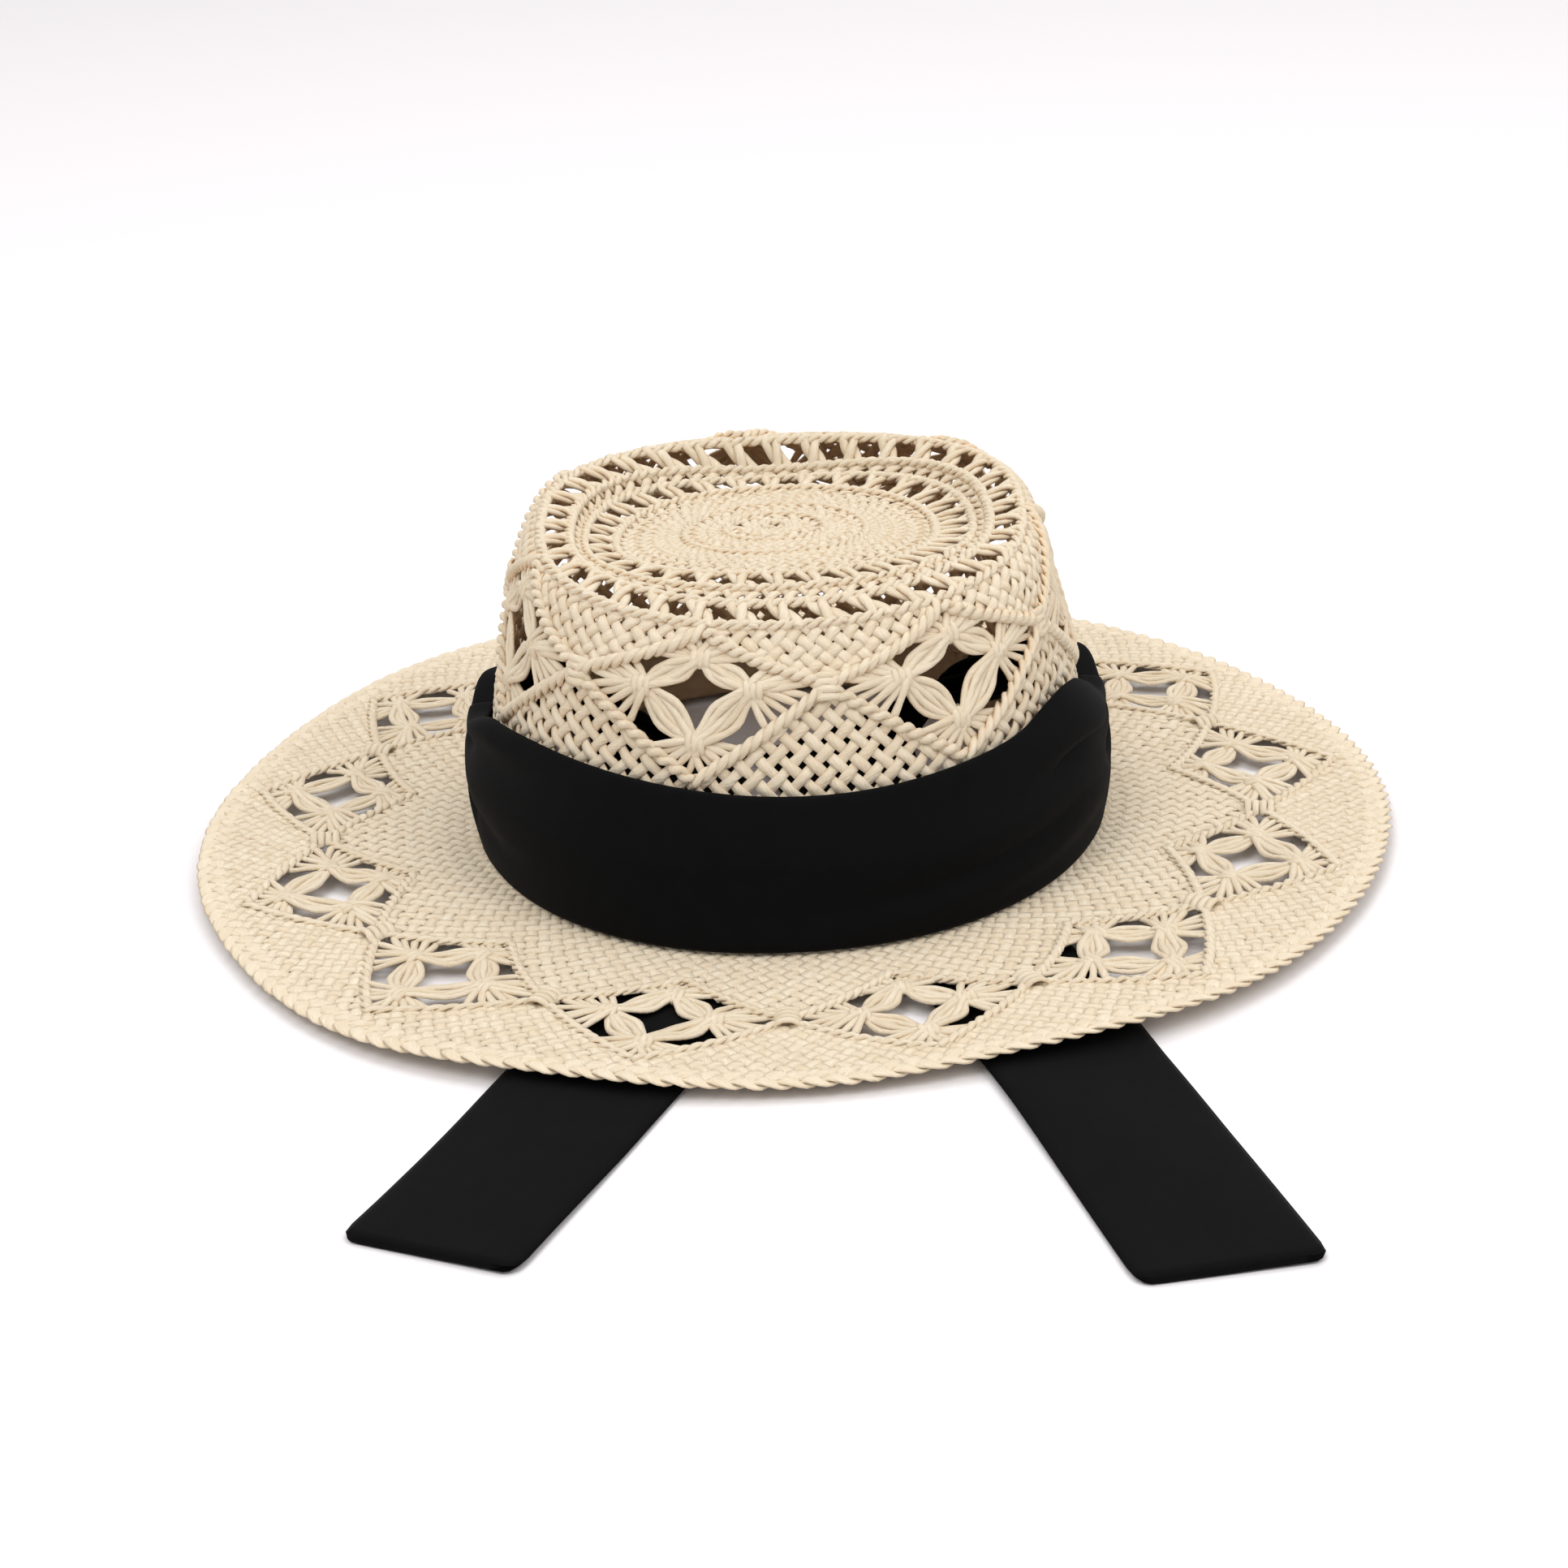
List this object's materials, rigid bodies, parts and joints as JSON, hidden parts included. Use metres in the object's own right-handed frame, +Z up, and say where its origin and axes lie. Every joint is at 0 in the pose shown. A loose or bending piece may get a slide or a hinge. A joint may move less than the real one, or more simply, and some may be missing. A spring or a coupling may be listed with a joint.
{
  "type": "straw sun hat",
  "caption": "Openwork straw sun hat with a dished crown, a wide brim, and a ribbon scarf across the front whose two tails lie forward under the brim.",
  "frame": {"origin": "middle of the head opening, on the surface that the brim's edge stands on", "axes": "+Z up out of the crown, -Y to the front, +X to the right as seen from the front"},
  "size_m": [0.352, 0.476, 0.095],
  "materials": {
    "straw_crown": "matte twisted paper straw",
    "straw_openwork": "matte twisted paper straw",
    "straw_cord": "matte twined paper cord",
    "straw_brim": "matte twisted paper straw",
    "straw_braid": "matte plaited paper straw",
    "sweatband": "matte woven tape",
    "ribbon": "matte black crepe"
  },
  "bodies": {
    "hat": {"crown_tip": "straw_crown", "crown_rim_weave": "straw_crown", "crown_upper_weave": "straw_crown", "crown_lower_weave": "straw_crown", "tip_ladder": "straw_openwork", "rim_ladder": "straw_openwork", "crown_diamond_1": "straw_openwork", "crown_diamond_2": "straw_openwork", "crown_diamond_3": "straw_openwork", "crown_diamond_4": "straw_openwork", "crown_diamond_5": "straw_openwork", "crown_diamond_6": "straw_openwork", "crown_diamond_7": "straw_openwork", "brim_diamond_1": "straw_openwork", "brim_diamond_2": "straw_openwork", "brim_diamond_3": "straw_openwork", "brim_diamond_4": "straw_openwork", "brim_diamond_5": "straw_openwork", "brim_diamond_6": "straw_openwork", "brim_diamond_7": "straw_openwork", "brim_diamond_8": "straw_openwork", "brim_diamond_9": "straw_openwork", "brim_diamond_10": "straw_openwork", "brim_diamond_11": "straw_openwork", "brim_diamond_12": "straw_openwork", "brim_diamond_13": "straw_openwork", "crown_twined_border": "straw_cord", "brim_twined_border": "straw_cord", "brim_inner_weave": "straw_brim", "brim_outer_weave": "straw_brim", "brim_edge_braid": "straw_braid", "sweatband": "sweatband", "scarf_band": "ribbon", "scarf_tuck_left": "ribbon", "scarf_tuck_right": "ribbon"},
    "tail_left": {"scarf_tail_left": "ribbon"},
    "tail_right": {"scarf_tail_right": "ribbon"}
  },
  "joints": [
    {"name": "tail_left_swing", "type": "hinge", "parent": "hat", "child": "tail_left", "pos_m": [-0.037, 0.031, 0.001], "axis": [1, 0, 0], "range_deg": [0, 85]},
    {"name": "tail_right_swing", "type": "hinge", "parent": "hat", "child": "tail_right", "pos_m": [0.016, 0.031, 0.001], "axis": [1, 0, 0], "range_deg": [0, 85]}
  ]
}
